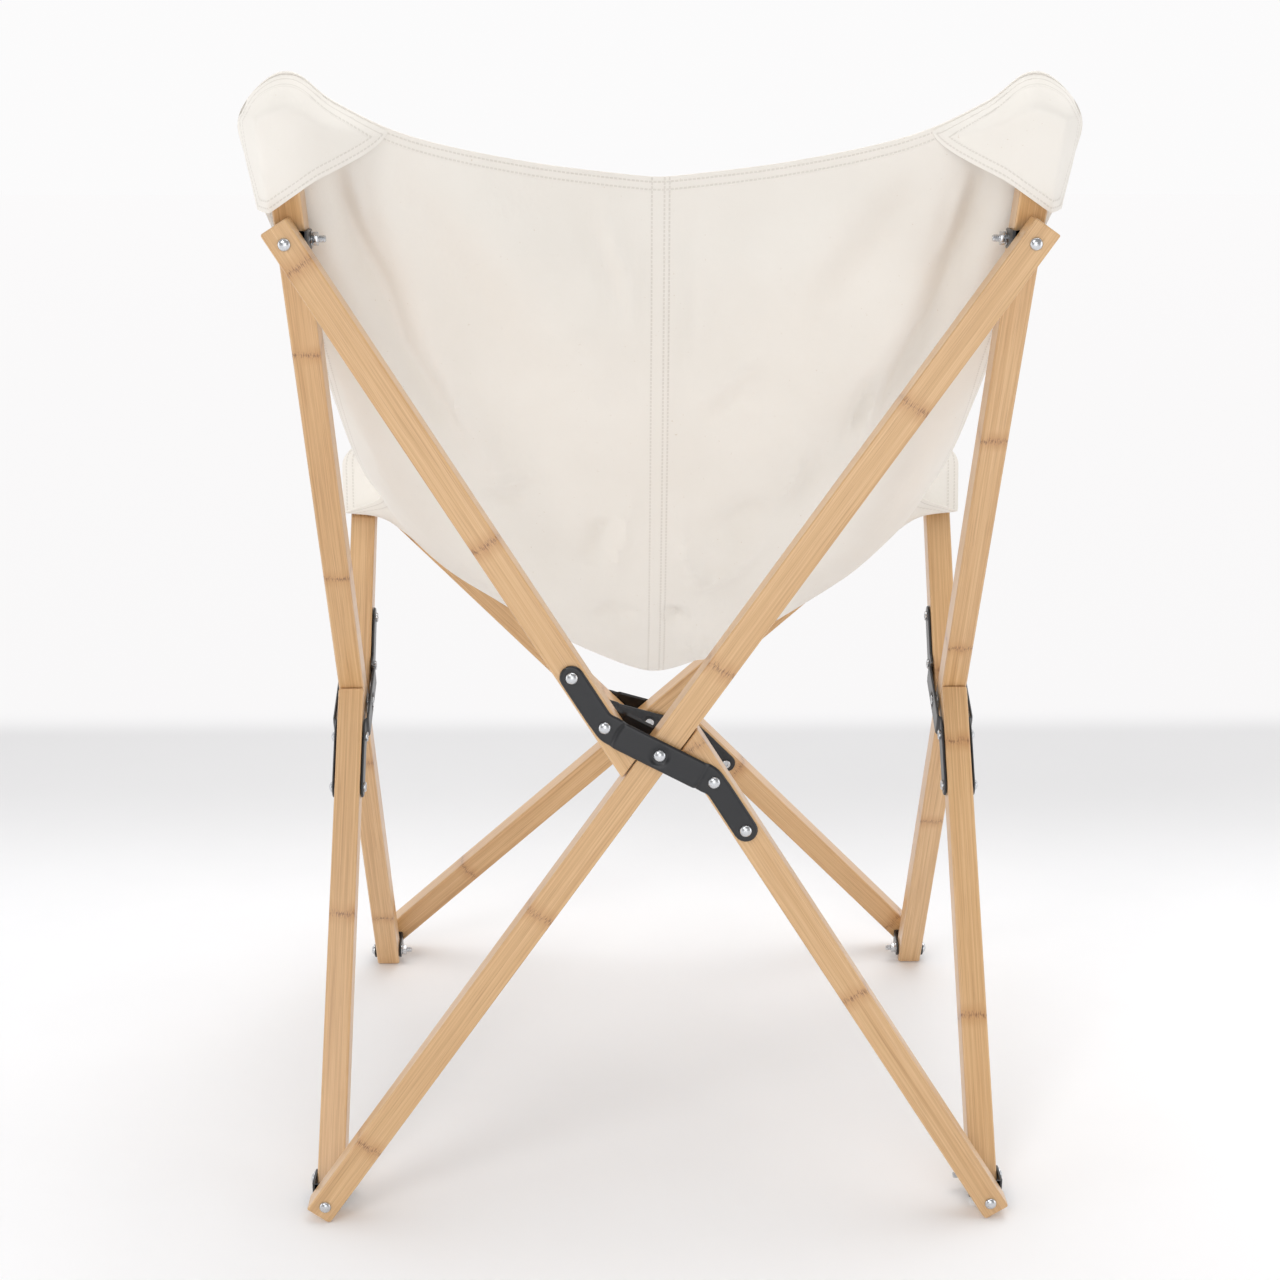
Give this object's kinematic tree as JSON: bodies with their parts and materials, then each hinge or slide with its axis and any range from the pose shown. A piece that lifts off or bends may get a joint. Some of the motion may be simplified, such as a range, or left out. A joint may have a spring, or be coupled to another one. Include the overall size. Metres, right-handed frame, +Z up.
{
  "type": "butterfly sling chair",
  "caption": "Folding lounge chair: scissor frames of square bamboo bars, cranked steel plates and forks at the corners, and a canvas sling hung on the bar tips.",
  "frame": {"origin": "on the floor, under the middle of the box around the open chair", "axes": "+Z up, the sitter faces -Y, +X is the sitter's left"},
  "size_m": [0.636, 0.6412, 0.9724],
  "materials": {
    "bamboo": "satin lacquered bamboo",
    "black_steel": "satin black coating",
    "zinc": "zinc plated",
    "canvas": "plain cotton canvas"
  },
  "bodies": {
    "bottom_back_left_corner": {"bottom_back_left_fork": "black_steel", "bottom_back_left_cross_bolt": "zinc"},
    "back_whole": {"back_whole_bar": "bamboo", "back_pivot_bolt": "zinc"},
    "back_split": {"back_upper_bar": "bamboo", "back_lower_bar": "bamboo", "back_outer_plate": "black_steel", "back_inner_plate": "black_steel", "back_upper_far_bolt": "zinc", "back_upper_near_bolt": "zinc", "back_lower_near_bolt": "zinc", "back_lower_far_bolt": "zinc"},
    "left_whole": {"left_whole_bar": "bamboo", "left_pivot_bolt": "zinc", "sling": "canvas"},
    "left_split": {"left_upper_bar": "bamboo", "left_lower_bar": "bamboo", "left_outer_plate": "black_steel", "left_inner_plate": "black_steel", "left_upper_far_bolt": "zinc", "left_upper_near_bolt": "zinc", "left_lower_near_bolt": "zinc", "left_lower_far_bolt": "zinc"},
    "right_whole": {"right_whole_bar": "bamboo", "right_pivot_bolt": "zinc"},
    "right_split": {"right_upper_bar": "bamboo", "right_lower_bar": "bamboo", "right_outer_plate": "black_steel", "right_inner_plate": "black_steel", "right_upper_far_bolt": "zinc", "right_upper_near_bolt": "zinc", "right_lower_near_bolt": "zinc", "right_lower_far_bolt": "zinc"},
    "front_whole": {"front_whole_bar": "bamboo", "front_pivot_bolt": "zinc", "front_top_right_face_bolt": "zinc"},
    "front_split": {"front_upper_bar": "bamboo", "front_lower_bar": "bamboo", "front_outer_plate": "black_steel", "front_inner_plate": "black_steel", "front_upper_far_bolt": "zinc", "front_upper_near_bolt": "zinc", "front_lower_near_bolt": "zinc", "front_lower_far_bolt": "zinc", "front_top_left_face_bolt": "zinc", "front_bottom_right_face_bolt": "zinc"},
    "bottom_back_right_corner": {"bottom_back_right_fork": "black_steel", "bottom_back_right_cross_bolt": "zinc"},
    "top_back_left_corner": {"top_back_left_fork": "black_steel", "top_back_left_cross_bolt": "zinc"},
    "top_back_right_corner": {"top_back_right_fork": "black_steel", "top_back_right_cross_bolt": "zinc"},
    "bottom_front_left_corner": {"bottom_front_left_fork": "black_steel", "bottom_front_left_cross_bolt": "zinc"},
    "bottom_front_right_corner": {"bottom_front_right_fork": "black_steel", "bottom_front_right_cross_bolt": "zinc"},
    "top_front_left_corner": {"top_front_left_fork": "black_steel", "top_front_left_cross_bolt": "zinc"},
    "top_front_right_corner": {"top_front_right_fork": "black_steel", "top_front_right_cross_bolt": "zinc"}
  },
  "joints": [
    {"name": "fold", "type": "hinge", "parent": "bottom_back_left_corner", "child": "back_whole", "pos_m": [0.29, 0.23634, 0.015], "axis": [0, 1, 0], "range_deg": [0, 30], "deforming": ["sling"]},
    {"name": "back_scissor", "type": "hinge", "parent": "back_whole", "child": "back_split", "pos_m": [0, 0.23634, 0.429], "axis": [0, 1, 0], "range_deg": [-60, 0]},
    {"name": "top_back_right_pivot", "type": "hinge", "parent": "back_whole", "child": "top_back_right_corner", "pos_m": [-0.29, 0.23634, 0.843], "axis": [0, 1, 0], "range_deg": [-30, 0]},
    {"name": "top_back_left_pivot", "type": "hinge", "parent": "back_split", "child": "top_back_left_corner", "pos_m": [0.29, 0.23634, 0.843], "axis": [0, 1, 0], "range_deg": [0, 30]},
    {"name": "bottom_back_right_pivot", "type": "hinge", "parent": "back_split", "child": "bottom_back_right_corner", "pos_m": [-0.29, 0.23634, 0.015], "axis": [0, 1, 0], "range_deg": [0, 30]},
    {"name": "bottom_back_left_cross_pivot", "type": "hinge", "parent": "bottom_back_left_corner", "child": "left_split", "pos_m": [0.29, 0.23634, 0.015], "axis": [-1, 0, 0], "range_deg": [0, 33.54]},
    {"name": "left_scissor", "type": "hinge", "parent": "left_split", "child": "left_whole", "pos_m": [0.29, -0.05151, 0.37104], "axis": [1, 0, 0], "range_deg": [0, 60.24]},
    {"name": "bottom_front_left_cross_pivot", "type": "hinge", "parent": "left_whole", "child": "bottom_front_left_corner", "pos_m": [0.29, -0.26866, 0.015], "axis": [1, 0, 0], "range_deg": [-14.1, 0]},
    {"name": "top_front_left_cross_pivot", "type": "hinge", "parent": "left_split", "child": "top_front_left_corner", "pos_m": [0.29, -0.19381, 0.54704], "axis": [1, 0, 0], "range_deg": [0, 46.14]},
    {"name": "bottom_back_right_cross_pivot", "type": "hinge", "parent": "bottom_back_right_corner", "child": "right_split", "pos_m": [-0.29, 0.23634, 0.015], "axis": [-1, 0, 0], "range_deg": [0, 33.54]},
    {"name": "right_scissor", "type": "hinge", "parent": "right_split", "child": "right_whole", "pos_m": [-0.29, -0.05151, 0.37104], "axis": [1, 0, 0], "range_deg": [0, 60.24]},
    {"name": "bottom_front_right_cross_pivot", "type": "hinge", "parent": "right_whole", "child": "bottom_front_right_corner", "pos_m": [-0.29, -0.26866, 0.015], "axis": [1, 0, 0], "range_deg": [-14.1, 0]},
    {"name": "top_front_right_cross_pivot", "type": "hinge", "parent": "right_split", "child": "top_front_right_corner", "pos_m": [-0.29, -0.19381, 0.54704], "axis": [1, 0, 0], "range_deg": [0, 46.14]},
    {"name": "bottom_front_left_pivot", "type": "hinge", "parent": "bottom_front_left_corner", "child": "front_whole", "pos_m": [0.29, -0.26866, 0.015], "axis": [0, 0.9913, -0.132], "range_deg": [0, 40.78]},
    {"name": "front_scissor", "type": "hinge", "parent": "front_whole", "child": "front_split", "pos_m": [0, -0.27019, 0.28621], "axis": [0, 0.9913, -0.132], "range_deg": [-81.56, 0]}
  ],
  "couplings": [
    {"joint": "back_scissor", "follows": "fold", "ratio": -2},
    {"joint": "top_back_right_pivot", "follows": "fold", "ratio": -1},
    {"joint": "top_back_left_pivot", "follows": "fold", "ratio": 1},
    {"joint": "bottom_back_right_pivot", "follows": "fold", "ratio": 1},
    {"joint": "bottom_back_left_cross_pivot", "follows": "fold", "ratio": 1.118},
    {"joint": "left_scissor", "follows": "fold", "ratio": 2.008},
    {"joint": "bottom_front_left_cross_pivot", "follows": "fold", "ratio": -0.47},
    {"joint": "top_front_left_cross_pivot", "follows": "fold", "ratio": 1.538},
    {"joint": "bottom_back_right_cross_pivot", "follows": "fold", "ratio": 1.118},
    {"joint": "right_scissor", "follows": "fold", "ratio": 2.008},
    {"joint": "bottom_front_right_cross_pivot", "follows": "fold", "ratio": -0.47},
    {"joint": "top_front_right_cross_pivot", "follows": "fold", "ratio": 1.538},
    {"joint": "bottom_front_left_pivot", "follows": "fold", "ratio": 1.3593},
    {"joint": "front_scissor", "follows": "fold", "ratio": -2.7186}
  ]
}
